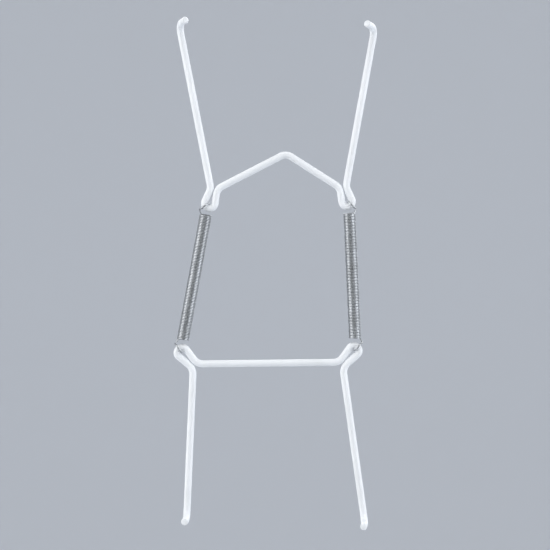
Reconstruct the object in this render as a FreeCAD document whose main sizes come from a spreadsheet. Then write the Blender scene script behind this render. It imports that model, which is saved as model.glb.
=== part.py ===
import FreeCAD, Part

import enum
import math
import os

import Sketcher

# Wire plate hanger: two bent wires joined by two extension springs.
# The wires lie in the XZ plane, the claws point to -Y, and the origin is under the hanging bend.

V = FreeCAD.Vector
SIDES = {"left": -1, "right": 1}
Point = enum.IntEnum("Point", "START END CENTRE")
Axis = enum.IntEnum("Axis", {"HORIZONTAL": -1, "VERTICAL": -2})
START, END, CENTRE = Point
HORIZONTAL_AXIS, VERTICAL_AXIS = Axis
ORIGIN = HORIZONTAL_AXIS

# Driving sizes in millimetres and degrees
SIZES = (
    ("wire_diameter", 2.3, "coated wire of both wire forms"),
    ("apex_radius", 3.2, "bend that hangs on the nail"),
    ("left_eye_reach", 25.0, "hanging bend to left upper eye, sideways"),
    ("right_eye_reach", 20.3, "hanging bend to right upper eye, sideways"),
    ("left_eye_drop", 15.9, "hanging bend to left upper eye, downwards"),
    ("right_eye_drop", 15.3, "hanging bend to right upper eye, downwards"),
    ("shoulder_radius", 3.6, "bend from the chevron into an upper eye"),
    ("upper_eye_tilt", 16.75, "upper eye, outwards from straight down"),
    ("left_arm_splay", 11.0, "left arm, outwards from straight up"),
    ("right_arm_splay", 10.3, "right arm, outwards from straight up"),
    ("left_arm_length", 50.4, "straight run of the left arm"),
    ("right_arm_length", 48.5, "straight run of the right arm"),
    ("lower_eye_reach", 28.3, "middle of the cross bar to a lower eye"),
    ("lower_eye_angle", 47.0, "lower eye, upwards from the cross bar"),
    ("bar_radius", 3.8, "bend from the cross bar into a lower eye"),
    ("left_leg_splay", 3.1, "left leg, outwards from straight down"),
    ("right_leg_splay", 7.4, "right leg, outwards from straight down"),
    ("left_leg_length", 44.25, "straight run of the left leg"),
    ("right_leg_length", 46.35, "straight run of the right leg"),
    ("neck_radius", 4.2, "bend from an eye into its arm or leg"),
    ("neck_gap", 0.12, "slit where an eye closes on itself"),
    ("upper_eye_taper", 16.5, "angle between the two sides of an upper eye"),
    ("lower_eye_taper", 13.7, "angle between the two sides of a lower eye"),
    ("eye_room", 0.65, "room in an eye beside the spring wire"),
    ("claw_radius", 3.2, "bend from an arm or leg into its claw"),
    ("claw_turn", 90.0, "how far a claw bends over"),
    ("claw_tip", 4.5, "straight end of a claw"),
    ("left_arm_claw_lean", 19.5, "left upper claw, towards the middle"),
    ("right_arm_claw_lean", 23.0, "right upper claw, towards the middle"),
    ("left_leg_claw_lean", -2.0, "left lower claw, towards the middle"),
    ("right_leg_claw_lean", 6.0, "right lower claw, towards the middle"),
    ("tip_round", 0.5, "rounded rim of a claw's end"),
    ("spring_wire", 0.5, "wire of the springs"),
    ("hook_room", 0.9, "room in an end loop round the coated wire"),
    ("left_spring_length", 42.4, "closed coils of the left spring"),
    ("right_spring_length", 41.6, "closed coils of the right spring"),
    ("coil_ease", 0.15, "eased rims of the coils' ends"),
    ("left_spring_lean", 10.4, "left spring, outwards from straight down"),
    ("hook_tilt", 42.0, "end loop, opened from the coils"),
    ("hook_lift", 1.3, "root of an end loop, beyond the coils"),
    ("hook_overhang", 0.44, "root of an end loop, outside the coils"),
    ("hook_sweep", 330.0, "how far an end loop goes round"),
    ("hook_clearance", 0.15, "end loop to the wire it pulls on"),
    ("riser_start", 45.0, "last coil's end, short of the end loop's root"),
)

# Sizes that follow from the driving ones
DERIVED = [
    ("apex_height", "wire_diameter / 2"),
    ("eye_radius", "(wire_diameter + spring_wire + eye_room) / 2"),
    ("neck_spacing", "wire_diameter + neck_gap"),
]

for wire, inner_bend in (("upper", "shoulder_radius"), ("lower", "bar_radius")):
    DERIVED += [
        # Teardrop eye: two tapering sides from a round end to the neck, where they all but touch
        (f"{wire}_half_taper", f"{wire}_eye_taper / 2"),
        (f"{wire}_eye_turn", f"180 + {wire}_eye_taper"),
        (f"{wire}_eye_half", f"eye_radius / cos({wire}_half_taper)"),
        (
            f"{wire}_neck_half",
            f"(neck_spacing + ({inner_bend} + neck_radius) * (1 - cos({wire}_half_taper))) / 2",
        ),
        (f"{wire}_neck", f"({wire}_eye_half - {wire}_neck_half) / tan({wire}_half_taper)"),
        (
            f"{wire}_eye_side",
            f"({wire}_neck - eye_radius * sin({wire}_half_taper)) / cos({wire}_half_taper)",
        ),
    ]

DERIVED += [
    ("inner_side_tilt", "upper_eye_tilt - upper_half_taper"),
    ("outer_side_tilt", "upper_eye_tilt + upper_half_taper"),
    ("steep_side_angle", "lower_eye_angle + lower_half_taper"),
    ("flat_side_angle", "lower_eye_angle - lower_half_taper"),
    ("lower_neck_x", "lower_eye_reach - lower_neck * cos(lower_eye_angle)"),
    ("bar_corner", "lower_neck_half * sin(lower_eye_angle) + bar_radius * sin(steep_side_angle)"),
    ("bar_half", "lower_neck_x - bar_corner"),
    ("bar_bend_height", "bar_radius * (1 - cos(steep_side_angle))"),
    ("lower_neck_z", "bar_bend_height - lower_neck_half * cos(lower_eye_angle)"),
    ("lower_eye_rise", "lower_neck_z + lower_neck * sin(lower_eye_angle)"),
    ("spring_radius", "(wire_diameter + hook_room) / 2 + spring_wire"),
    ("coil_radius", "spring_radius - spring_wire / 2"),
    ("coil_bore", "spring_radius - spring_wire"),
    ("hook_root", "coil_radius + hook_overhang"),
    ("hook_grip", "2 * coil_radius - (wire_diameter + spring_wire) / 2 - hook_clearance"),
    ("hook_reach", "hook_lift + (hook_grip + eye_radius) * sin(hook_tilt)"),
    ("spring_offset", "(hook_grip + eye_radius) * cos(hook_tilt) - hook_root"),
    ("left_span", "left_spring_length + 2 * hook_reach"),
    ("right_span", "right_spring_length + 2 * hook_reach"),
    ("left_eye_x", "-left_eye_reach"),
    ("right_eye_x", "right_eye_reach"),
    ("left_eye_z", "apex_height - left_eye_drop"),
    ("right_eye_z", "apex_height - right_eye_drop"),
    ("left_foot_x", "left_eye_x - left_span * sin(left_spring_lean)"),
    ("left_foot_z", "left_eye_z - left_span * cos(left_spring_lean)"),
    ("foot_spacing", "2 * lower_eye_reach"),
    ("cross_x", "right_eye_x - left_foot_x"),
    ("cross_z", "right_eye_z - left_foot_z"),
    ("cross_square", "cross_x ^ 2 + cross_z ^ 2"),
    ("cross_product", "2 * sqrt(cross_square) * foot_spacing"),
    ("cross_cosine", "(cross_square + foot_spacing ^ 2 - right_span ^ 2) / cross_product"),
    ("lower_turn", "(atan2(cross_z; cross_x) - acos(cross_cosine)) / 1 deg"),
    ("lower_x", "left_foot_x + lower_eye_reach * cos(lower_turn) + lower_eye_rise * sin(lower_turn)"),
    ("lower_z", "left_foot_z + lower_eye_reach * sin(lower_turn) - lower_eye_rise * cos(lower_turn)"),
    ("right_foot_x", "left_foot_x + foot_spacing * cos(lower_turn)"),
    ("right_foot_z", "left_foot_z + foot_spacing * sin(lower_turn)"),
    ("right_spring_lean", "asin((right_foot_x - right_eye_x) / right_span) / 1 deg"),
    ("riser_x", "-coil_radius * cos(riser_start)"),
    ("riser_y", "coil_radius * sin(riser_start)"),
    ("riser_run", "sqrt((hook_root + riser_x) ^ 2 + riser_y ^ 2)"),
    ("riser_bearing", "atan2(-riser_y; -hook_root - riser_x) / 1 deg"),
    ("riser_turn", "2 * atan2(hook_lift + spring_wire / 2; riser_run) / 1 deg"),
    ("riser_radius", "riser_run / (2 * sin(riser_turn))"),
]

for side, sign in SIDES.items():
    DERIVED += [
        # Chevron: a common tangent of the hanging bend and the shoulder bend
        (
            f"{side}_chevron_x",
            f"{side}_eye_reach - upper_neck * sin(upper_eye_tilt) - upper_neck_half * cos(upper_eye_tilt)"
            " - shoulder_radius * cos(inner_side_tilt)",
        ),
        (
            f"{side}_chevron_z",
            f"apex_radius - {side}_eye_drop + upper_neck * cos(upper_eye_tilt)"
            " - upper_neck_half * sin(upper_eye_tilt) - shoulder_radius * sin(inner_side_tilt)",
        ),
        (f"{side}_chevron_square", f"{side}_chevron_x ^ 2 + {side}_chevron_z ^ 2"),
        (f"{side}_chevron_run", f"sqrt({side}_chevron_square - (apex_radius - shoulder_radius) ^ 2)"),
        (f"{side}_chevron_bearing", f"atan2({side}_chevron_z; {side}_chevron_x) / 1 deg"),
        (
            f"{side}_apex_turn",
            f"asin((apex_radius - shoulder_radius) / sqrt({side}_chevron_square)) / 1 deg"
            f" - {side}_chevron_bearing",
        ),
        (f"{side}_shoulder_turn", f"90 - inner_side_tilt - {side}_apex_turn"),
        # Where an arm and a leg end and their claws begin
        (f"{side}_upper_neck_turn", f"outer_side_tilt + {side}_arm_splay"),
        (
            f"{side}_arm_reach",
            f"{side}_eye_reach - upper_neck * sin(upper_eye_tilt) + upper_neck_half * cos(upper_eye_tilt)"
            f" + neck_radius * (cos(outer_side_tilt) - cos({side}_arm_splay))"
            f" + {side}_arm_length * sin({side}_arm_splay)",
        ),
        (f"{side}_arm_x", f"{sign} * {side}_arm_reach"),
        (
            f"{side}_arm_z",
            f"{side}_eye_z + upper_neck * cos(upper_eye_tilt) + upper_neck_half * sin(upper_eye_tilt)"
            f" + neck_radius * (sin(outer_side_tilt) + sin({side}_arm_splay))"
            f" + {side}_arm_length * cos({side}_arm_splay)",
        ),
        (f"{side}_arm_bearing", f"90 - {sign} * {side}_arm_splay"),
        (f"{side}_arm_claw_roll", f"90 - {sign} * {side}_arm_claw_lean"),
        (f"{side}_lower_neck_turn", f"90 + {side}_leg_splay - flat_side_angle"),
        (
            f"{side}_leg_reach",
            f"lower_neck_x + lower_neck_half * sin(lower_eye_angle)"
            f" + neck_radius * (sin(flat_side_angle) - cos({side}_leg_splay))"
            f" + {side}_leg_length * sin({side}_leg_splay)",
        ),
        (f"{side}_leg_x", f"{sign} * {side}_leg_reach"),
        (
            f"{side}_leg_z",
            f"bar_bend_height - 2 * lower_neck_half * cos(lower_eye_angle)"
            f" - neck_radius * (cos(flat_side_angle) + sin({side}_leg_splay))"
            f" - {side}_leg_length * cos({side}_leg_splay)",
        ),
        (f"{side}_leg_bearing", f"{sign} * {side}_leg_splay - 90"),
        (f"{side}_leg_claw_roll", f"90 + {sign} * {side}_leg_claw_lean"),
        # Middle of a spring, out to the side of the line through its two eyes
        (
            f"{side}_spring_x",
            f"({side}_eye_x + {side}_foot_x) / 2 + {sign} * spring_offset * cos({side}_spring_lean)",
        ),
        (f"{side}_spring_z", f"({side}_eye_z + {side}_foot_z) / 2 + spring_offset * sin({side}_spring_lean)"),
        (f"{side}_coil_end", f"{side}_spring_length / 2"),
        (f"{side}_coil_centre", f"({side}_spring_length - spring_wire) / 2"),
        (f"{side}_hook_height", f"{side}_coil_end + hook_lift"),
    ]


def make_sheet(doc):
    sheet = doc.addObject("Spreadsheet::Sheet", "sizes")
    rows = [(alias, str(number), note) for alias, number, note in SIZES]
    rows += [(alias, f"={formula}", "") for alias, formula in DERIVED]
    for row, (alias, content, note) in enumerate(rows, start=1):
        sheet.set(f"A{row}", alias)
        sheet.set(f"B{row}", content)
        sheet.set(f"C{row}", note)
        sheet.setAlias(f"B{row}", alias)
    doc.recompute()
    return sheet


def placement(x="0", y="0", z="0", yaw="0", pitch="0", roll="0"):
    return (
        f"create(<<placement>>; create(<<vector>>; {x}; {y}; {z});"
        f" create(<<rotation>>; {yaw}; {pitch}; {roll}))"
    )


def size(alias):
    return f"sizes.{alias}"


def value(doc, alias):
    return float(doc.sizes.get(alias))


def new_body(doc, label):
    body = doc.addObject("PartDesign::Body", label)
    body.Label = label
    return body


def new_sketch(body, name, role, **offset):
    sketch = body.newObject("Sketcher::SketchObject", name)
    plane = next(item for item in body.Origin.OriginFeatures if item.Role == role)
    sketch.AttachmentSupport = [(plane, "")]
    sketch.MapMode = "FlatFace"
    sketch.setExpression("AttachmentOffset", placement(**offset))
    return sketch


def constrain(sketch, *parts, expression=None):
    index = sketch.addConstraint(Sketcher.Constraint(*parts))
    if expression:
        sketch.setExpression(f"Constraints[{index}]", expression)


def draw_circle(sketch, alias):
    diameter = value(sketch.Document, alias)
    sketch.addGeometry(Part.Circle(V(), V(0, 0, 1), diameter / 2))
    constrain(sketch, "Coincident", 0, CENTRE, ORIGIN, START)
    constrain(sketch, "Diameter", 0, diameter, expression=size(alias))


def draw_bends(sketch, steps):
    """A path from the origin along X: straight runs (length,) and tangent bends (radius, turn, way)."""
    doc = sketch.Document
    point, heading = V(), 0.0
    last = None
    for index, step in enumerate(steps):
        if len(step) == 1:
            length = value(doc, step[0])
            target = point + V(math.cos(heading), math.sin(heading)) * length
            sketch.addGeometry(Part.LineSegment(point, target))
            constrain(sketch, "Distance", index, length, expression=size(step[0]))
            start, end = START, END
        else:
            radius, turn = value(doc, step[0]), math.radians(value(doc, step[1]))
            way = step[2]
            normal = V(-math.sin(heading), math.cos(heading)) * way
            centre = point + normal * radius
            first = heading - way * math.pi / 2
            heading += way * turn
            final = heading - way * math.pi / 2
            target = centre + V(math.cos(final), math.sin(final)) * radius
            circle = Part.Circle(centre, V(0, 0, 1), radius)
            sketch.addGeometry(Part.ArcOfCircle(circle, min(first, final), max(first, final)))
            constrain(sketch, "Radius", index, radius, expression=size(step[0]))
            constrain(sketch, "Angle", index, turn, expression=size(step[1]))
            start, end = (START, END) if way > 0 else (END, START)
        if last is None:
            constrain(sketch, "Coincident", index, start, ORIGIN, START)
            if len(step) == 1:
                constrain(sketch, "Horizontal", index)
            else:
                constrain(sketch, "PointOnObject", index, CENTRE, VERTICAL_AXIS)
        else:
            constrain(sketch, "Tangent", index - 1, last, index, start)
        point, last = target, end


def sweep(body, name, profile, path):
    pipe = body.newObject("PartDesign::AdditivePipe", name)
    pipe.Profile = profile
    pipe.Spine = path
    body.Document.recompute()
    return pipe


def nearest(shapes, kind, point):
    """Name of the face or edge whose middle is nearest to a point."""
    distances = [shape.CenterOfMass.distanceToPoint(point) for shape in shapes]
    return f"{kind}{distances.index(min(distances)) + 1}"


def add_claw(body, wire, limb, side):
    """Bends the end of an arm or leg out of the wire's plane, and rounds its tip."""
    doc = body.Document
    where = f"{side}_{limb}"
    path = new_sketch(
        body,
        f"{where}_claw_path",
        "XZ_Plane",
        x=size(f"{where}_x"),
        y=size(f"{where}_z"),
        yaw=size(f"{where}_bearing"),
        roll=size(f"{where}_claw_roll"),
    )
    draw_bends(path, [("claw_radius", "claw_turn", 1), ("claw_tip",)])
    doc.recompute()
    root = V(value(doc, f"{where}_x"), 0, value(doc, f"{where}_z"))
    claw = sweep(body, f"{where}_claw", (wire, [nearest(wire.Shape.Faces, "Face", root)]), path)
    tip = path.Shape.Vertexes[-1].Point
    rounded = body.newObject("PartDesign::Fillet", f"{where}_tip")
    rounded.Base = (claw, [nearest(claw.Shape.Edges, "Edge", tip)])
    rounded.setExpression("Radius", size("tip_round"))
    doc.recompute()
    return rounded


def make_wire(doc, label, height, limb, bends):
    """One bent wire, from the middle of its width outwards on each side, with a claw at each end."""
    body = new_body(doc, label)
    section = new_sketch(body, f"{label}_section", "YZ_Plane", y=height)
    draw_circle(section, "wire_diameter")
    for side, sign in SIDES.items():
        path = new_sketch(body, f"{side}_{limb}_path", "XZ_Plane", y=height, pitch=f"{90 - 90 * sign}")
        draw_bends(path, bends(side))
        doc.recompute()
        wire = sweep(body, f"{side}_{limb}", section, path)
    for side in SIDES:
        wire = add_claw(body, wire, limb, side)
    return body


def upper_bends(side):
    return [
        ("apex_radius", f"{side}_apex_turn", -1),
        (f"{side}_chevron_run",),
        ("shoulder_radius", f"{side}_shoulder_turn", -1),
        ("upper_eye_side",),
        ("eye_radius", "upper_eye_turn", 1),
        ("upper_eye_side",),
        ("neck_radius", f"{side}_upper_neck_turn", -1),
        (f"{side}_arm_length",),
    ]


def lower_bends(side):
    return [
        ("bar_half",),
        ("bar_radius", "steep_side_angle", 1),
        ("lower_eye_side",),
        ("eye_radius", "lower_eye_turn", -1),
        ("lower_eye_side",),
        ("neck_radius", f"{side}_lower_neck_turn", 1),
        (f"{side}_leg_length",),
    ]


def draw_polygon(sketch, corners):
    """A closed outline of straight lines, each numbered as the corner where it starts."""
    for first, second in zip(corners, corners[1:] + corners[:1]):
        sketch.addGeometry(Part.LineSegment(first, second))
    last = len(corners) - 1
    for index in range(last):
        constrain(sketch, "Coincident", index, END, index + 1, START)
    constrain(sketch, "Coincident", last, END, 0, START)


def draw_flats(sketch, alias):
    """The spring wire's section as eight flats, since its loops and risers repeat and need few faces."""
    diameter = value(sketch.Document, alias)
    bearings = [math.pi * (2 * corner - 1) / 8 for corner in range(8)]
    draw_polygon(sketch, [V(math.cos(angle), math.sin(angle)) * (diameter / 2) for angle in bearings])
    rim = sketch.addGeometry(Part.Circle(V(), V(0, 0, 1), diameter / 2), True)
    constrain(sketch, "Coincident", rim, CENTRE, ORIGIN, START)
    constrain(sketch, "Diameter", rim, diameter, expression=size(alias))
    constrain(sketch, "Vertical", 0)
    for flat in range(len(bearings)):
        constrain(sketch, "PointOnObject", flat, END, rim)
        if flat:
            constrain(sketch, "Equal", flat - 1, flat)


def add_coils(body, side):
    """The closed coils as one tube, its wall as thick as the spring wire and eased at both ends."""
    doc = body.Document
    inside, outside = value(doc, "coil_bore"), value(doc, "spring_radius")
    half = value(doc, f"{side}_coil_end")
    sketch = new_sketch(body, f"{side}_coil_section", "XZ_Plane")
    draw_polygon(sketch, [V(inside, half), V(inside, -half), V(outside, -half), V(outside, half)])
    constrain(sketch, "Symmetric", 0, START, 0, END, HORIZONTAL_AXIS)
    constrain(sketch, "Horizontal", 1)
    constrain(sketch, "Vertical", 2)
    constrain(sketch, "Horizontal", 3)
    constrain(sketch, "Distance", 0, 2 * half, expression=size(f"{side}_spring_length"))
    constrain(sketch, "DistanceX", ORIGIN, START, 0, START, inside, expression=size("coil_bore"))
    constrain(sketch, "DistanceX", ORIGIN, START, 2, START, outside, expression=size("spring_radius"))
    tube = body.newObject("PartDesign::Revolution", f"{side}_coils")
    tube.Profile = sketch
    tube.ReferenceAxis = (sketch, ["V_Axis"])
    tube.Angle = 360
    doc.recompute()
    rims = [f"Edge{n}" for n, edge in enumerate(tube.Shape.Edges, start=1) if edge.Closed]
    eased = body.newObject("PartDesign::Chamfer", f"{side}_coil_ends")
    eased.Base = (tube, rims)
    eased.setExpression("Size", size("coil_ease"))
    doc.recompute()


def add_loop(body, side):
    """The opened end loop: a ring that stands edge-on beside the coils' outer side."""
    doc = body.Document
    radius = value(doc, "coil_radius")
    root = {"x": "-sizes.hook_root", "y": size(f"{side}_hook_height"), "yaw": size("hook_tilt")}
    sketch = new_sketch(body, f"{side}_loop_section", "XZ_Plane", **root)
    draw_flats(sketch, "spring_wire")
    axis = sketch.addGeometry(Part.LineSegment(V(radius, 0), V(radius, radius)), True)
    constrain(sketch, "Vertical", axis)
    constrain(sketch, "PointOnObject", axis, START, HORIZONTAL_AXIS)
    constrain(sketch, "DistanceX", ORIGIN, START, axis, START, radius, expression=size("coil_radius"))
    constrain(sketch, "Distance", axis, radius, expression=size("coil_radius"))
    loop = body.newObject("PartDesign::Revolution", f"{side}_loop")
    loop.Profile = sketch
    loop.ReferenceAxis = (sketch, ["Axis0"])
    loop.setExpression("Angle", size("hook_sweep"))
    doc.recompute()
    return loop


def add_riser(body, side):
    """The double bend that lifts the wire from the last coil to the root of the loop."""
    base = {"pitch": size("riser_bearing"), "y": size(f"{side}_coil_centre")}
    across = {"x": size("riser_y"), "z": size("riser_x")}
    section = new_sketch(body, f"{side}_riser_section", "YZ_Plane", **across, **base)
    draw_flats(section, "spring_wire")
    along = {"x": size("riser_x"), "z": "-sizes.riser_y"}
    path = new_sketch(body, f"{side}_riser_path", "XZ_Plane", **along, **base)
    draw_bends(path, [("riser_radius", "riser_turn", 1), ("riser_radius", "riser_turn", -1)])
    body.Document.recompute()
    return sweep(body, f"{side}_riser", section, path)


def make_spring(doc, side):
    """A spring along its own Z axis, with the same end turned over for the far end."""
    body = new_body(doc, f"{side}_spring")
    add_coils(body, side)
    loop = add_loop(body, side)
    riser = add_riser(body, side)
    ends = body.newObject("PartDesign::PolarPattern", f"{side}_ends")
    ends.Originals = [loop, riser]
    axis = next(item for item in body.Origin.OriginFeatures if item.Role == "X_Axis")
    ends.Axis = (axis, [""])
    ends.Angle = 360
    ends.Occurrences = 2
    body.Tip = ends
    doc.recompute()
    return body


def check(doc, bodies):
    for item in doc.Objects:
        if {"Invalid", "Error"} & set(item.State):
            raise RuntimeError(f"{item.Label} failed: {item.State}")
    for body in bodies:
        shape = body.Shape
        if shape.isNull() or not shape.isValid() or len(shape.Solids) != 1:
            raise RuntimeError(f"{body.Label} is not one valid solid")


def main():
    doc = FreeCAD.newDocument("plate_hanger")
    make_sheet(doc)
    upper = make_wire(doc, "upper_wire", size("apex_height"), "arm", upper_bends)
    lower = make_wire(doc, "lower_wire", "0", "leg", lower_bends)
    lower.setExpression(
        "Placement", placement(x=size("lower_x"), z=size("lower_z"), pitch="-sizes.lower_turn")
    )
    bodies = [upper, lower]
    for side, sign in SIDES.items():
        spring = make_spring(doc, side)
        spring.setExpression(
            "Placement",
            placement(
                x=size(f"{side}_spring_x"),
                z=size(f"{side}_spring_z"),
                yaw=f"{90 + 90 * sign}",
                pitch=size(f"{side}_spring_lean"),
            ),
        )
        bodies.append(spring)
    doc.recompute()
    check(doc, bodies)
    os.makedirs("parts", exist_ok=True)
    for body in bodies:
        body.Shape.exportStep(f"parts/{body.Label}.step")
        print(body.Label, round(body.Shape.Volume, 2), body.Shape.BoundBox)


main()
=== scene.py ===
import math

import bpy
import bmesh
from mathutils import Matrix, Vector
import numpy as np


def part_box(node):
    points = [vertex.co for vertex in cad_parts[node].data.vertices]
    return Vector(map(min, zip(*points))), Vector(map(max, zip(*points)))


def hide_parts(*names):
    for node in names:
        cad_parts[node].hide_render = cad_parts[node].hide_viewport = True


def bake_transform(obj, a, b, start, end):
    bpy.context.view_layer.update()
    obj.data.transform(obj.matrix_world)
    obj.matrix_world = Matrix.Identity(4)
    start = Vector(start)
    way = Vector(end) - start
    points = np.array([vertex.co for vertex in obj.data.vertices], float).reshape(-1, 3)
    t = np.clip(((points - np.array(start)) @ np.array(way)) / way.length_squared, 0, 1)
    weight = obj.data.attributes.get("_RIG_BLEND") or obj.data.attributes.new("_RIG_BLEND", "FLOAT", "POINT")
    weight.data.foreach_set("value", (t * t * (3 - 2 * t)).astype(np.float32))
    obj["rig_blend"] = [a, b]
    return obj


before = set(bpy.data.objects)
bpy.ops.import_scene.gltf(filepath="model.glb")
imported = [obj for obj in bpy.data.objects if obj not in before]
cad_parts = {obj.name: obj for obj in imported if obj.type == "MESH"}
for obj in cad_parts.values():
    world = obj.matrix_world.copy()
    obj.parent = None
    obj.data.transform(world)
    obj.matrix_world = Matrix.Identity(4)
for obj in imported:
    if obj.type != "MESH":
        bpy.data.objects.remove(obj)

mm = 0.001
scene = bpy.context.scene
scene.view_settings.view_transform = "Standard"
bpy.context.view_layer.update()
print("frame loaded:", ", ".join(sorted(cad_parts)))


def addObject(name, data):
    obj = bpy.data.objects.new(name, data)
    scene.collection.objects.link(obj)
    return obj


class Flow:  # a shader socket that takes Python operators
    def __init__(self, tree, socket=None):
        self.tree = tree
        self.socket = socket

    def node(self, kind, settings=None, inputs=None, out=0):
        made = self.tree.nodes.new(kind)
        for name, setting in (settings or {}).items():
            setattr(made, name, setting)
        for key, value in (inputs or {}).items():
            if isinstance(value, Flow):
                self.tree.links.new(value.socket, made.inputs[key])
            else:
                made.inputs[key].default_value = value
        return Flow(self.tree, made.outputs[out] if len(made.outputs) else None)

    def maths(self, operation, other):
        return self.node("ShaderNodeMath", {"operation": operation}, {0: self, 1: other})

    def __add__(self, other):
        return self.maths("ADD", other)

    def __mul__(self, other):
        return self.maths("MULTIPLY", other)

    __radd__ = __add__
    __rmul__ = __mul__


def newMaterial(name):
    material = bpy.data.materials.new(name)
    material.use_nodes = True
    material.node_tree.nodes.clear()
    return material, Flow(material.node_tree)


def objectPoint(flow):
    return flow.node("ShaderNodeTexCoord", out="Object")


def noise(flow, point, scale, detail=2.0, roughness=0.5):
    return flow.node("ShaderNodeTexNoise", None,
                     {"Vector": point, "Scale": scale, "Detail": detail, "Roughness": roughness})


def between(flow, value, low, high):  # 0 up to low, 1 from high on
    return flow.node("ShaderNodeMapRange", None, {"Value": value, "From Min": low, "From Max": high})


def mixColour(flow, mask, first, second):  # 6, 7 and 2 are the node's colour sockets
    return flow.node("ShaderNodeMix", {"data_type": "RGBA"},
                     {"Factor": mask, 6: first, 7: second}, out=2)


def surface(flow, **inputs):  # underscores stand for the spaces in the socket names
    names = {key.replace("_", " "): value for key, value in inputs.items()}
    shader = flow.node("ShaderNodeBsdfPrincipled", None, names)
    flow.node("ShaderNodeOutputMaterial", None, {"Surface": shader})


coating = {
    "white": (0.86, 0.885, 0.915, 1),
    "shade": (0.795, 0.82, 0.845, 1),
    "shadeFrom": 0.38,      # of the cloud noise: where the shade begins and where it is full
    "shadeFull": 0.75,
    "patch": 70,            # soft tone changes, per metre
    "patchDetail": 3,
    "run": 240,             # slow thick and thin places along the wire, per metre
    "runTone": 0.3,         # their share in the cloud noise
    "peel": 1500,           # the skin of the dipped plastic, per metre
    "peelHeight": 0.25,     # against the height of the thick places
    "relief": 0.25 * mm,
    "reliefStrength": 0.3,
    "roughness": 0.40,
    "roughSpread": 0.14,
    "ior": 1.5,
}


def makeCoating():
    material, flow = newMaterial("whiteCoating")
    point = objectPoint(flow)
    patch = noise(flow, point, coating["patch"], coating["patchDetail"])
    peel = noise(flow, point, coating["peel"])
    run = noise(flow, point, coating["run"])
    cloud = patch * (1 - coating["runTone"]) + run * coating["runTone"]
    shade = between(flow, cloud, coating["shadeFrom"], coating["shadeFull"])
    bump = flow.node("ShaderNodeBump", None, {
        "Height": peel * coating["peelHeight"] + run,
        "Strength": coating["reliefStrength"], "Distance": coating["relief"]})
    surface(flow, Base_Color=mixColour(flow, shade, coating["white"], coating["shade"]), Normal=bump,
            Roughness=coating["roughness"] + coating["roughSpread"] * run, IOR=coating["ior"])
    return material


steel = {
    "bright": (0.47, 0.488, 0.508, 1),
    "dull": (0.385, 0.4, 0.412, 1),
    "dullFrom": 0.35,       # of the cloud noise: where the dull tone begins and where it is full
    "dullFull": 0.72,
    "tarnish": 260,         # cloudy places, per metre
    "tarnishDetail": 3,
    "tarnishGrain": 0.55,
    "drawing": 2600,        # fine marks of the drawn wire, per metre
    "roughness": 0.30,
    "dullRough": 0.08,      # added where it is dull, and by the marks
    "markRough": 0.06,
}


def makeSteel():
    material, flow = newMaterial("springSteel")
    point = objectPoint(flow)
    cloud = noise(flow, point, steel["tarnish"], steel["tarnishDetail"], steel["tarnishGrain"])
    marks = noise(flow, point, steel["drawing"])
    dull = between(flow, cloud, steel["dullFrom"], steel["dullFull"])
    surface(flow, Base_Color=mixColour(flow, dull, steel["bright"], steel["dull"]), Metallic=1.0,
            Roughness=steel["roughness"] + steel["dullRough"] * dull + steel["markRough"] * marks)
    return material


whiteCoating = makeCoating()
springSteel = makeSteel()

for name in ("upper_wire", "lower_wire"):
    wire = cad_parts[name]
    wire.data.materials.clear()
    wire.data.materials.append(whiteCoating)
print("wires coated")


spring = {
    "wire": 0.5,          # mm, as all lengths here
    "coilRadius": 1.85,   # to the middle of the wire
    "steps": 28,          # points in one turn
    "sides": 10,          # round the wire
    "loopRoot": 2.29,     # where the end loop starts, from the axis
    "loopLift": 1.3,      # above the end of the coils
    "loopTilt": 42,       # degrees, as all angles here
    "loopSweep": 330,
    "loopSteps": 40,
    "riserStart": 45,     # where the wire leaves the coils, short of the loop
    "riserEase": 0.62,    # length of the handles that bend the riser from the coils into the loop
    "weld": 0.03,         # points closer than this become one
}

springPlaces = {  # the middle's X and Z, and the length of the closed coils
    "left": {"middle": (-30.1097, -39.3242), "lean": 10.4, "yaw": 0, "length": 42.4},
    "right": {"middle": (22.0076, -38.7908), "lean": 2.5962, "yaw": 180, "length": 41.6},
}


class Nodes:  # builds a Geometry Nodes tree, one call a node
    def __init__(self, name, inputs):
        self.tree = bpy.data.node_groups.new(name, "GeometryNodeTree")
        self.tree.interface.new_socket("Geometry", in_out="OUTPUT", socket_type="NodeSocketGeometry")
        for label, kind in inputs.items():
            self.tree.interface.new_socket(label, in_out="INPUT", socket_type="NodeSocket" + kind)
        self.given = self.tree.nodes.new("NodeGroupInput").outputs

    def add(self, kind, settings=None, inputs=None, out=0):
        made = self.tree.nodes.new(kind)
        for name, setting in (settings or {}).items():
            setattr(made, name, setting)
        for key, value in (inputs or {}).items():
            for source in value if isinstance(value, list) else [value]:
                if isinstance(source, bpy.types.NodeSocket):
                    self.tree.links.new(source, made.inputs[key])
                else:
                    made.inputs[key].default_value = source
        return made.outputs[out]

    def maths(self, operation, first, second):
        return self.add("ShaderNodeMath", {"operation": operation}, {0: first, 1: second})

    def store(self, geometry, name, value):
        return self.add("GeometryNodeStoreNamedAttribute", {"data_type": "FLOAT", "domain": "POINT"},
                        {"Geometry": geometry, "Name": name, "Value": value})

    def points(self, curve):
        return self.add("GeometryNodeCurveToPoints", {"mode": "EVALUATED"}, {"Curve": curve})

    def close(self, geometry):
        end = self.tree.nodes.new("NodeGroupOutput")
        self.tree.links.new(geometry, end.inputs[0])


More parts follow.
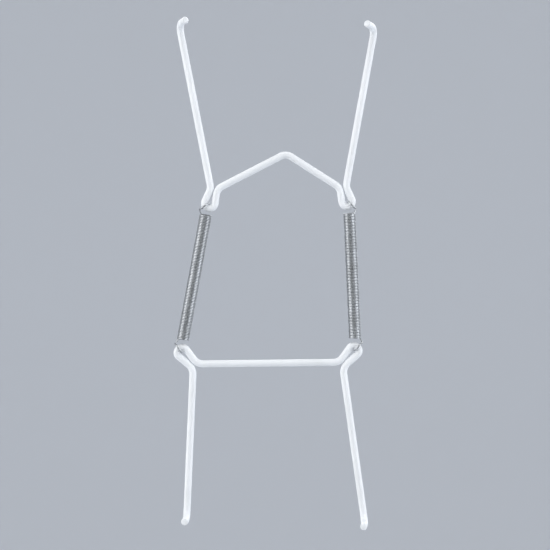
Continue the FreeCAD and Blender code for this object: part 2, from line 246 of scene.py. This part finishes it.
def springTree():
    nodes = Nodes("springWire", {
        "Coil Radius": "Float", "Wire Radius": "Float", "Turns": "Float", "Coil Height": "Float",
        "Start Angle": "Float", "Steps": "Int", "Sides": "Int", "Weld": "Float",
        "Riser Start": "Vector", "Riser Leaving": "Vector", "Riser Arriving": "Vector",
        "Loop Root": "Vector", "Loop Centre": "Vector", "Loop Turn": "Vector", "Loop Sweep": "Float",
        "Loop Steps": "Int", "Material": "Material"})
    given = nodes.given
    along = nodes.add("GeometryNodeSplineParameter")

    # the close-wound coils, counted from the bottom end
    coils = nodes.add("GeometryNodeCurveSpiral", None, {
        "Resolution": given["Steps"], "Rotations": given["Turns"], "Start Radius": given["Coil Radius"],
        "End Radius": given["Coil Radius"], "Height": given["Coil Height"]})
    sunk = nodes.maths("MULTIPLY", given["Coil Height"], -0.5)
    low = nodes.add("ShaderNodeCombineXYZ", None, {"Z": sunk})
    start = nodes.add("ShaderNodeCombineXYZ", None, {"Z": given["Start Angle"]})
    coils = nodes.add("GeometryNodeTransform", None, {
        "Geometry": coils, "Translation": low, "Rotation": start})
    coils = nodes.store(coils, "order", along)
    coils = nodes.store(coils, "stretch", nodes.maths("SUBTRACT", 1.0, along))

    # the riser and the end loop, once for the top end
    riser = nodes.add("GeometryNodeCurvePrimitiveBezierSegment", None, {
        "Resolution": given["Steps"], "Start": given["Riser Start"],
        "Start Handle": given["Riser Leaving"], "End Handle": given["Riser Arriving"],
        "End": given["Loop Root"]})
    riser = nodes.store(riser, "order", nodes.maths("ADD", along, 1.0))
    loop = nodes.add("GeometryNodeCurveArc", {"mode": "RADIUS"}, {
        "Resolution": given["Loop Steps"], "Radius": given["Coil Radius"], "Start Angle": 0.0,
        "Sweep Angle": given["Loop Sweep"]})
    loop = nodes.add("GeometryNodeTransform", None, {
        "Geometry": loop, "Translation": given["Loop Centre"], "Rotation": given["Loop Turn"]})
    loop = nodes.store(loop, "order", nodes.maths("ADD", along, 2.0))
    top = nodes.add("GeometryNodeJoinGeometry", None, {
        "Geometry": [nodes.points(riser), nodes.points(loop)]})
    top = nodes.store(top, "stretch", 0.0)

    # the bottom end is the top one turned over
    order = nodes.add("GeometryNodeInputNamedAttribute", {"data_type": "FLOAT"}, {"Name": "order"})
    bottom = nodes.add("GeometryNodeTransform", None, {"Geometry": top, "Rotation": (math.pi, 0, 0)})
    bottom = nodes.store(bottom, "order", nodes.maths("SUBTRACT", 1.0, order))
    bottom = nodes.store(bottom, "stretch", 1.0)

    # all of it as one line, in order, swept with the round of the wire
    points = nodes.add("GeometryNodeJoinGeometry", None, {"Geometry": [nodes.points(coils), top, bottom]})
    points = nodes.add("GeometryNodeMergeByDistance", None, {
        "Geometry": points, "Distance": given["Weld"]})
    line = nodes.add("GeometryNodePointsToCurves", None, {"Points": points, "Weight": order})
    section = nodes.add("GeometryNodeCurvePrimitiveCircle", {"mode": "RADIUS"}, {
        "Resolution": given["Sides"], "Radius": given["Wire Radius"]})
    body = nodes.add("GeometryNodeCurveToMesh", None, {
        "Curve": line, "Profile Curve": section, "Fill Caps": True})
    body = nodes.add("GeometryNodeSetShadeSmooth", None, {"Geometry": body})
    body = nodes.add("GeometryNodeRealizeInstances", None, {"Geometry": body})
    nodes.close(nodes.add("GeometryNodeSetMaterial", None, {
        "Geometry": body, "Material": given["Material"]}))
    return nodes.tree


def springInputs(length):
    wire = spring["wire"] * mm
    radius = spring["coilRadius"] * mm
    ease = spring["riserEase"] * mm
    height = length * mm - wire
    leave = math.radians(180 - spring["riserStart"])     # the coils wind right-handed up to here
    part = (2 * leave) % math.tau / math.tau             # of a turn, over and above the whole ones
    tilt = math.radians(spring["loopTilt"])
    root = Vector((-spring["loopRoot"], 0, length / 2 + spring["loopLift"])) * mm
    start = Vector((radius * math.cos(leave), radius * math.sin(leave), height / 2))
    return {
        "Coil Radius": radius, "Wire Radius": wire / 2, "Coil Height": height,
        "Turns": math.floor(height / wire - part) + part, "Start Angle": -leave,
        "Steps": spring["steps"], "Sides": spring["sides"], "Weld": spring["weld"] * mm,
        "Riser Start": start, "Riser Arriving": root + Vector((0, ease, 0)),
        "Riser Leaving": start + ease * Vector((-math.sin(leave), math.cos(leave), 0)),
        "Loop Root": root, "Loop Centre": root + radius * Vector((math.cos(tilt), 0, math.sin(tilt))),
        "Loop Turn": (0, tilt, math.pi), "Loop Sweep": math.radians(spring["loopSweep"]),
        "Loop Steps": spring["loopSteps"], "Material": springSteel}


def grownMesh(tree, values):  # the tree's result as a plain mesh
    holder = addObject(tree.name, bpy.data.meshes.new(tree.name))
    modifier = holder.modifiers.new(tree.name, "NODES")
    modifier.node_group = tree
    for item in tree.interface.items_tree:
        if item.in_out == "INPUT":
            modifier[item.identifier] = values[item.name]
    graph = bpy.context.evaluated_depsgraph_get()
    mesh = bpy.data.meshes.new_from_object(holder.evaluated_get(graph))
    bpy.data.objects.remove(holder)
    return mesh


def pastBox(mesh, node):  # how far a mesh leaves the box of a CAD node along X, Y and Z, in mm
    low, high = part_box(node)
    past = []
    for k in range(3):
        reach = [vertex.co[k] for vertex in mesh.vertices]
        past.append(round(max(low[k] - min(reach), max(reach) - high[k]) / mm, 2))
    return past


def makeSpring(side, tree):
    place = springPlaces[side]
    values = springInputs(place["length"])
    mesh = grownMesh(tree, values)
    turn = Matrix.Rotation(math.radians(place["yaw"]), 4, "Z")
    turn = turn @ Matrix.Rotation(math.radians(place["lean"]), 4, "Y")
    middle = Vector((place["middle"][0], 0, place["middle"][1])) * mm
    mesh.transform(Matrix.Translation(middle) @ turn)
    piece = addObject(side + "SpringWire", mesh)

    # each section of the wire keeps its shape and the coils open evenly when the lower wire is pulled
    axis = turn @ Vector((0, 0, values["Coil Height"] / 2))
    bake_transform(piece, "springs", "lower", start=tuple(middle + axis), end=tuple(middle - axis))
    share = [0.0] * len(mesh.vertices)
    mesh.attributes["stretch"].data.foreach_get("value", share)
    mesh.attributes["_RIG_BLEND"].data.foreach_set("value", share)
    for name in ("stretch", "order"):
        mesh.attributes.remove(mesh.attributes[name])
    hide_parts(side + "_spring")
    print(side, "spring wound:", round(values["Turns"], 2), "turns,", len(mesh.polygons), "faces,",
          "past its box by mm", pastBox(mesh, side + "_spring"))


tree = springTree()
for side in springPlaces:
    makeSpring(side, tree)


studio = {
    "pale": (0.66, 0.69, 0.74, 1),
    "paperRough": 0.9,
    "tint": (0.51, 0.54, 0.59, 1),   # what the backdrop shows by itself, and how much of it
    "tintShare": 0.5,
    "floor": -0.75,                  # well below the lowest reach of the claws
    "flat": 1.1,                     # the floor's own radius, and past it the sweep up to the wall
    "wall": 1.8,
    "height": 2.4,
    "sweepSteps": 16,
    "sides": 96,
    "air": (0.93, 0.96, 1, 1),
    "airStrength": 0.35,
    "flag": (0.74, 1.5),             # width and height
    "flagPlace": (0, -0.72, -0.04),
    "flagCloth": (0.03, 0.03, 0.03, 1),
    "flagWeave": 400,                # per metre
    "flagRough": 0.8,
    "flagRoughSpread": 0.15,
}


def sweepMesh():  # a round bowl, so that it looks alike from all sides
    steps, sides = studio["sweepSteps"], studio["sides"]
    bend = studio["wall"] - studio["flat"]
    profile = [(studio["flat"] / 2, 0)]
    for k in range(steps + 1):
        angle = math.radians(90 * k / steps)
        profile.append((studio["flat"] + bend * math.sin(angle), bend * (1 - math.cos(angle))))
    profile.append((studio["wall"], studio["height"]))

    form = bmesh.new()
    circle = [math.tau * k / sides for k in range(sides)]
    grid = []
    for reach, rise in profile:
        z = studio["floor"] + rise
        grid.append([form.verts.new((reach * math.cos(a), reach * math.sin(a), z)) for a in circle])
    centre = form.verts.new((0, 0, studio["floor"]))
    for k in range(sides):
        beside = (k + 1) % sides
        form.faces.new((centre, grid[0][k], grid[0][beside]))
        for lower, upper in zip(grid, grid[1:]):
            form.faces.new((lower[k], upper[k], upper[beside], lower[beside]))
    bmesh.ops.recalc_face_normals(form, faces=form.faces)
    for face in form.faces:
        face.smooth = True
    mesh = bpy.data.meshes.new("studioSweep")
    form.to_mesh(mesh)
    form.free()
    return mesh


def makeSweep():
    material, flow = newMaterial("studioPale")
    paper = flow.node("ShaderNodeBsdfPrincipled", None, {
        "Base Color": studio["pale"], "Roughness": studio["paperRough"]})
    glow = flow.node("ShaderNodeEmission", None, {"Color": studio["tint"]})
    seen = [flow.node("ShaderNodeLightPath", out="Is " + ray + " Ray")
            for ray in ("Camera", "Glossy", "Transmission")]
    share = studio["tintShare"] * (seen[0] + seen[1] + seen[2])
    mixed = flow.node("ShaderNodeMixShader", None, {0: share, 1: paper, 2: glow})
    flow.node("ShaderNodeOutputMaterial", None, {"Surface": mixed})
    sweep = addObject("studioSweep", sweepMesh())
    sweep.data.materials.append(material)


def makeFlag():  # a dark flag behind the camera, which only reflections see
    wide, tall = studio["flag"][0] / 2, studio["flag"][1] / 2
    middle = Vector(studio["flagPlace"])
    corners = [(-wide, 0, -tall), (wide, 0, -tall), (wide, 0, tall), (-wide, 0, tall)]
    mesh = bpy.data.meshes.new("studioFlag")
    mesh.from_pydata([middle + Vector(corner) for corner in corners], [], [(3, 2, 1, 0)])
    material, flow = newMaterial("flagCloth")
    weave = noise(flow, objectPoint(flow), studio["flagWeave"])
    surface(flow, Base_Color=studio["flagCloth"],
            Roughness=studio["flagRough"] + studio["flagRoughSpread"] * weave)
    mesh.materials.append(material)
    flag = addObject("studioFlag", mesh)
    flag.visible_camera = False


def makeAir():
    world = bpy.data.worlds.new("studioAir")
    world.use_nodes = True
    background = world.node_tree.nodes["Background"].inputs
    background["Color"].default_value = studio["air"]
    background["Strength"].default_value = studio["airStrength"]
    scene.world = world


lamps = {
    "leftBox": {"from": (-0.762, -0.354, 0.06), "size": (0.7, 1.2), "watts": 7.4, "colour": (1, 0.99, 0.97)},
    "rightBox": {"from": (0.768, -0.331, 0.02), "size": (0.7, 1.2), "watts": 6.8, "colour": (0.98, 0.99, 1)},
    "topBox": {"from": (0.05, -0.55, 0.85), "size": (0.8, 0.6), "watts": 3.9, "colour": (1, 1, 1)},
    "backBox": {"from": (0.15, 0.85, 0.45), "size": (1.2, 0.8), "watts": 6.5, "colour": (1, 1, 1)},
}
lampAim = Vector((0, 0, -0.04))


def makeLamps():
    for name, lamp in lamps.items():
        data = bpy.data.lights.new(name, "AREA")
        data.shape = "RECTANGLE"
        data.size, data.size_y = lamp["size"]
        data.energy = lamp["watts"]
        data.color = lamp["colour"]
        box = addObject(name, data)
        box.location = lamp["from"]
        box.rotation_euler = (lampAim - box.location).to_track_quat("-Z", "Y").to_euler()
        box.visible_camera = False


camera = {
    "aim": (-0.003465, -0.03845),   # what the middle of the picture shows, X and Z
    "distance": 0.52,
    "across": 0.1815,               # metres across the picture at the wires
    "sensor": 36,                   # mm
}


def makeCamera():
    data = bpy.data.cameras.new("photoCamera")
    data.sensor_width = camera["sensor"]
    data.lens = camera["sensor"] * camera["distance"] / camera["across"]
    scene.camera = addObject("photoCamera", data)
    scene.camera.location = (camera["aim"][0], -camera["distance"], camera["aim"][1])
    scene.camera.rotation_euler = (math.radians(90), 0, 0)


makeSweep()
makeFlag()
makeAir()
makeLamps()
makeCamera()
print("studio, lamps and camera placed")
